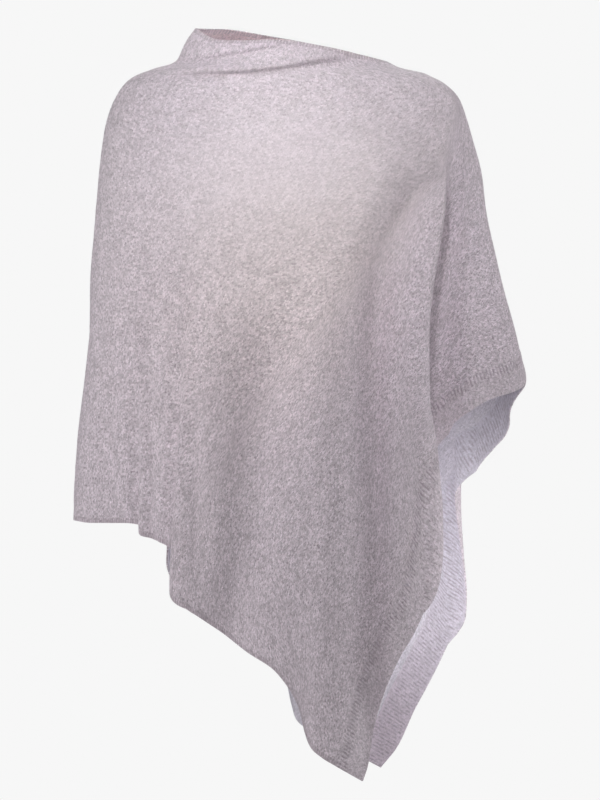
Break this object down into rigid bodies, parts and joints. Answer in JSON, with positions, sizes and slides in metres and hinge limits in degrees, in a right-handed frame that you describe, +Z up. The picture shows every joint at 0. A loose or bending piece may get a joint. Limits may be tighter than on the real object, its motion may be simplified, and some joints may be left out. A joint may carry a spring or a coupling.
{
  "type": "knitted poncho sweater",
  "caption": "Asymmetric fine-knit poncho sweater with a slouched neck, a shoulder seam, a pointed hem and ribbed open ends.",
  "frame": {"origin": "middle of the neck opening at shoulder height, where the wearer's neck and shoulders hold the garment", "axes": "+Z up, +X towards the open ribbed side as seen from the front, -Y the front, +Y the back"},
  "size_m": [0.5226, 0.2772, 0.8636],
  "materials": {
    "jersey_knit": "heathered mauve-grey fine jersey knit with a soft nap, matt",
    "rib_knit": "heathered mauve-grey rib knit, matt, ribs run in from the edge"
  },
  "bodies": {
    "root": {"knit_panel": "jersey_knit", "front_rib_band": "rib_knit", "back_rib_band": "rib_knit"}
  },
  "joints": []
}
